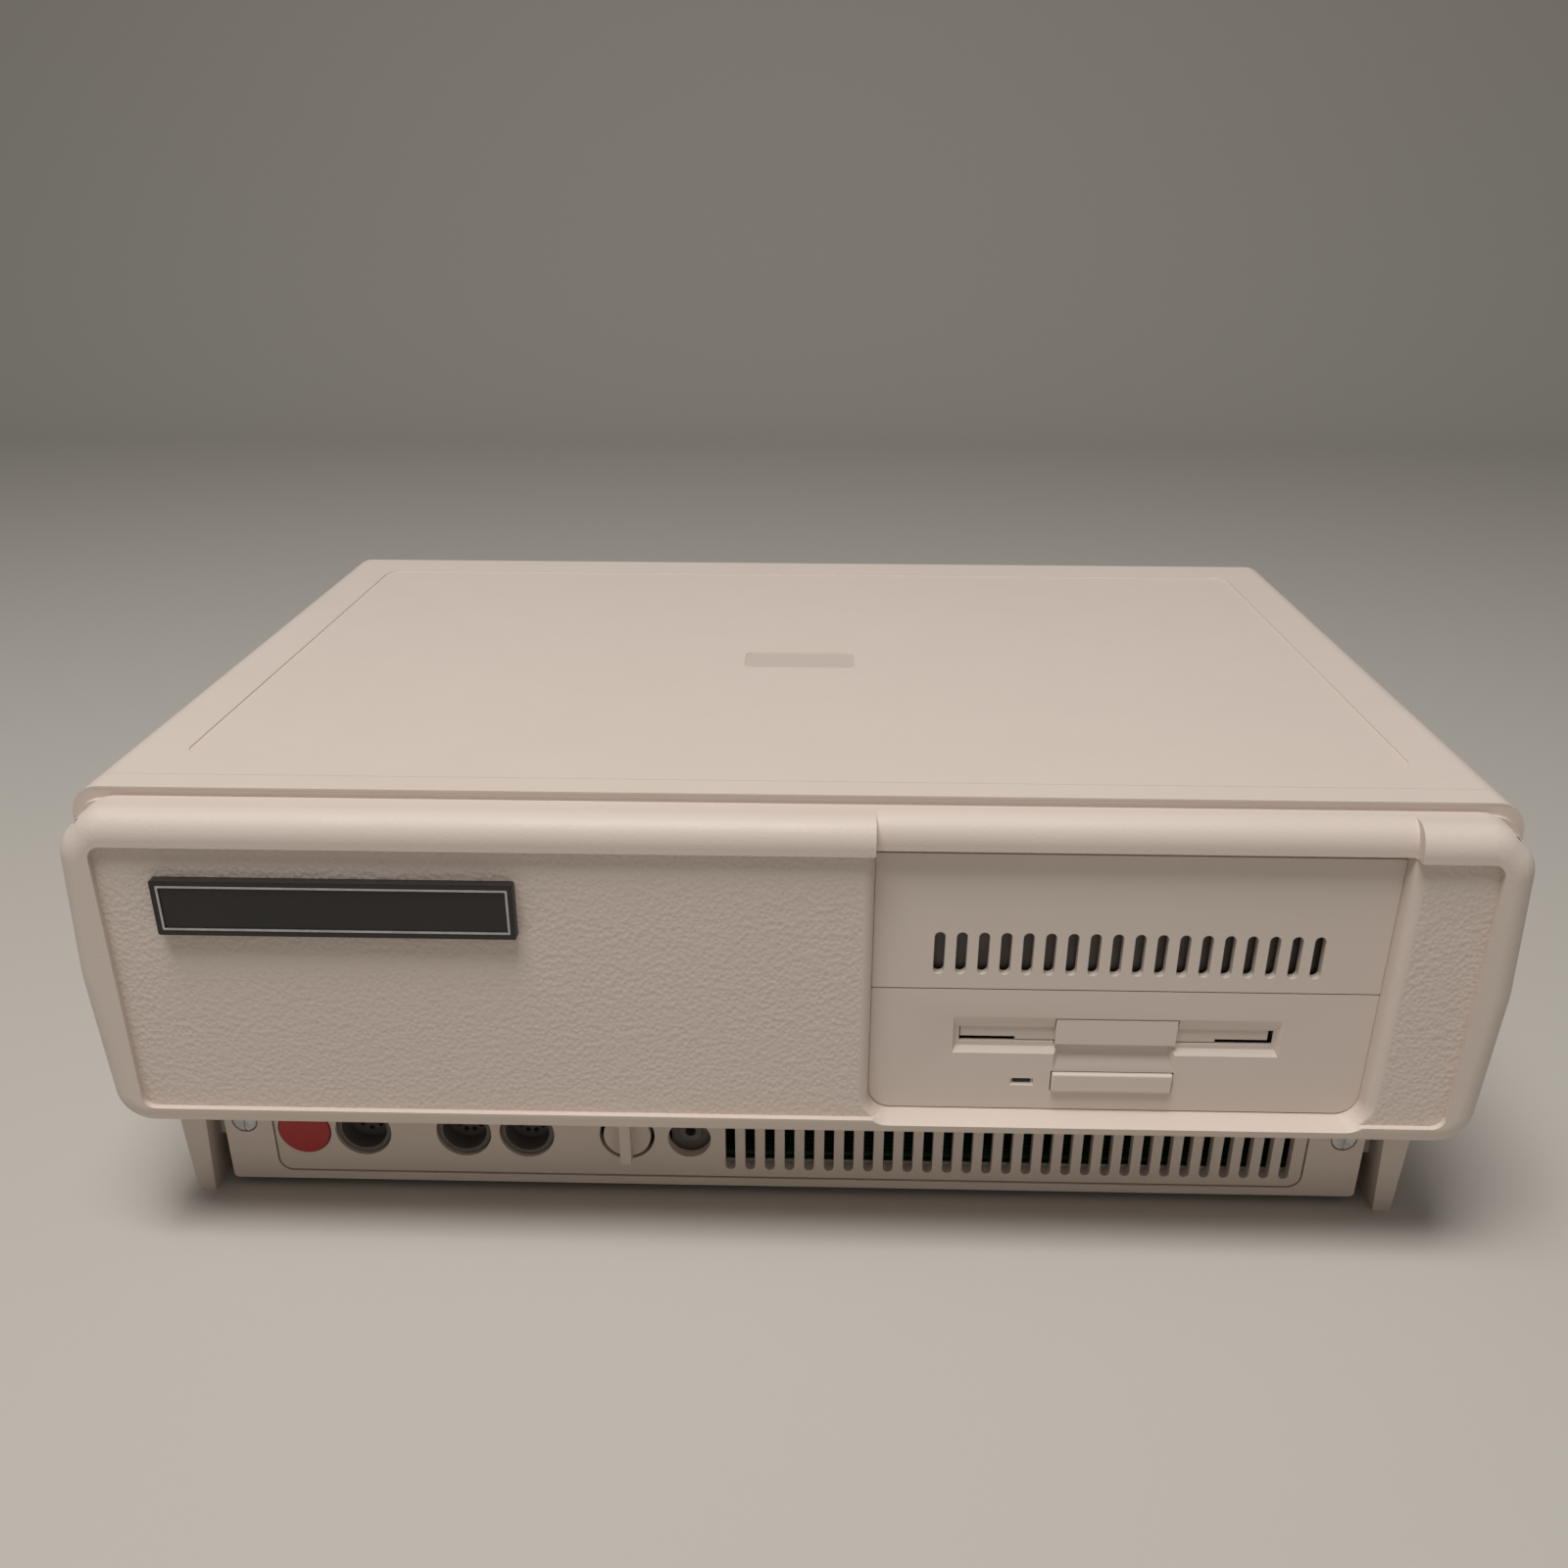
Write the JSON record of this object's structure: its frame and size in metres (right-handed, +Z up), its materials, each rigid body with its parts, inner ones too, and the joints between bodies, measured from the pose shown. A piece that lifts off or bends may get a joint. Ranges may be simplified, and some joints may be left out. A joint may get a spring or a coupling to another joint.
{
  "type": "desktop home computer",
  "caption": "Desktop home computer: cream case with a disk drive, ports under the front edge, and a lid that slides off forwards.",
  "frame": {"origin": "on the table, under the middle of the bounding box", "axes": "+X to the user's right, +Y from the front to the back, +Z up"},
  "size_m": [0.4318, 0.331, 0.152],
  "materials": {
    "case_plastic": "cream moulded plastic with a fine grain",
    "panel_plastic": "smooth cream plastic",
    "port_plastic": "smooth cream plastic",
    "red_plastic": "red plastic",
    "badge_black": "black plastic plate",
    "badge_silver": "silver line",
    "socket_black": "dark moulded plastic",
    "zinc_steel": "zinc-plated sheet steel",
    "rail_plastic": "cream moulded plastic",
    "screw_steel": "plated steel",
    "board_green": "green circuit board",
    "component_black": "black component plastic",
    "socket_metal": "plated socket shells",
    "lamp_lens": "dark lamp lens",
    "cast_metal": "cast light metal",
    "motor_metal": "turned steel",
    "drive_circuit": "green circuit board with black parts",
    "ribbon_grey": "grey flat cable",
    "header_beige": "black plug blocks",
    "lead_insulation": "insulated wires",
    "speaker_cone": "black loudspeaker basket"
  },
  "bodies": {
    "chassis": {"base_pan": "zinc_steel", "cover_nuts": "zinc_steel", "left_foot_rail": "rail_plastic", "right_foot_rail": "rail_plastic", "chassis_screws": "screw_steel", "port_panel": "port_plastic", "keyboard_socket": "socket_black", "joystick_sockets": "socket_black", "earphone_socket": "socket_black", "volume_control": "component_black", "reset_switch": "component_black", "main_board": "board_green", "board_standoffs": "screw_steel", "processor_chips": "component_black", "memory_chips": "component_black", "expansion_connectors": "component_black", "rear_panel": "zinc_steel", "bracket_rail": "zinc_steel", "slot_brackets": "zinc_steel", "speaker": "speaker_cone", "monitor_socket": "socket_metal", "printer_socket": "socket_metal", "phono_sockets": "socket_metal", "drive_shelf": "zinc_steel", "drive_cage": "zinc_steel", "drive_tray": "zinc_steel", "drive_screws": "screw_steel", "bay_blank_panel": "panel_plastic", "drive_front_panel": "panel_plastic", "indicator_lens": "lamp_lens", "drive_frame": "cast_metal", "spindle_motor": "motor_metal", "carriage_rods": "screw_steel", "stepper_motor": "motor_metal", "drive_board": "drive_circuit", "ribbon_cable": "ribbon_grey", "cable_headers": "header_beige", "power_leads": "lead_insulation", "power_supply_case": "zinc_steel", "mains_inlet": "socket_black", "switch_housing": "socket_black", "fan_frame": "socket_black", "fan_guard": "screw_steel", "supply_board": "board_green", "supply_parts": "component_black"},
    "reset_button": {"reset_button": "red_plastic"},
    "volume_knob": {"volume_knob": "port_plastic"},
    "eject_button": {"eject_button": "panel_plastic"},
    "drive_door": {"drive_door": "panel_plastic"},
    "power_rocker": {"power_rocker": "socket_black"},
    "fan_rotor": {"fan_rotor": "socket_black"},
    "spindle_hub": {"spindle_hub": "motor_metal"},
    "lead_screw": {"lead_screw": "screw_steel"},
    "head_carriage": {"head_carriage": "cast_metal"},
    "cover": {"top_cover": "case_plastic", "front_bezel": "case_plastic", "bezel_screws": "screw_steel", "cover_screws": "screw_steel", "badge_plate": "badge_black", "badge_trim": "badge_silver"}
  },
  "joints": [
    {"name": "cover_slide", "type": "slide", "parent": "chassis", "child": "cover", "axis": [0, -1, 0], "range_m": [0, 0.3]},
    {"name": "reset_press", "type": "slide", "parent": "chassis", "child": "reset_button", "axis": [0, 1, 0], "range_m": [0, 0.003], "stiffness_N_per_m": 300},
    {"name": "volume_turn", "type": "hinge", "parent": "chassis", "child": "volume_knob", "pos_m": [-0.0554, -0.1326, 0.023], "axis": [0, 1, 0], "range_deg": [-140, 140]},
    {"name": "eject_press", "type": "slide", "parent": "chassis", "child": "eject_button", "axis": [0, 1, 0], "range_m": [0, 0.0045], "stiffness_N_per_m": 300},
    {"name": "door_swing", "type": "hinge", "parent": "chassis", "child": "drive_door", "pos_m": [0.10075, -0.1533, 0.0824], "axis": [1, 0, 0], "range_deg": [0, 85], "stiffness_Nm_per_rad": 0.002},
    {"name": "power_rock", "type": "hinge", "parent": "chassis", "child": "power_rocker", "pos_m": [0.168, 0.1505, 0.024], "axis": [-1, 0, 0], "range_deg": [0, 14]},
    {"name": "fan_spin", "type": "hinge", "parent": "chassis", "child": "fan_rotor", "pos_m": [0.145, 0.1345, 0.08], "axis": [0, 1, 0], "continuous": true},
    {"name": "hub_spin", "type": "hinge", "parent": "chassis", "child": "spindle_hub", "pos_m": [0.10075, -0.0965, 0.0635], "axis": [0, 0, 1], "continuous": true},
    {"name": "screw_turn", "type": "hinge", "parent": "chassis", "child": "lead_screw", "pos_m": [0.13875, -0.0465, 0.066], "axis": [0, 1, 0], "range_deg": [0, 1800]},
    {"name": "carriage_slide", "type": "slide", "parent": "chassis", "child": "head_carriage", "axis": [0, -1, 0], "range_m": [0, 0.015]}
  ],
  "couplings": [
    {"joint": "screw_turn", "follows": "carriage_slide", "rad_per_m": 2094}
  ]
}
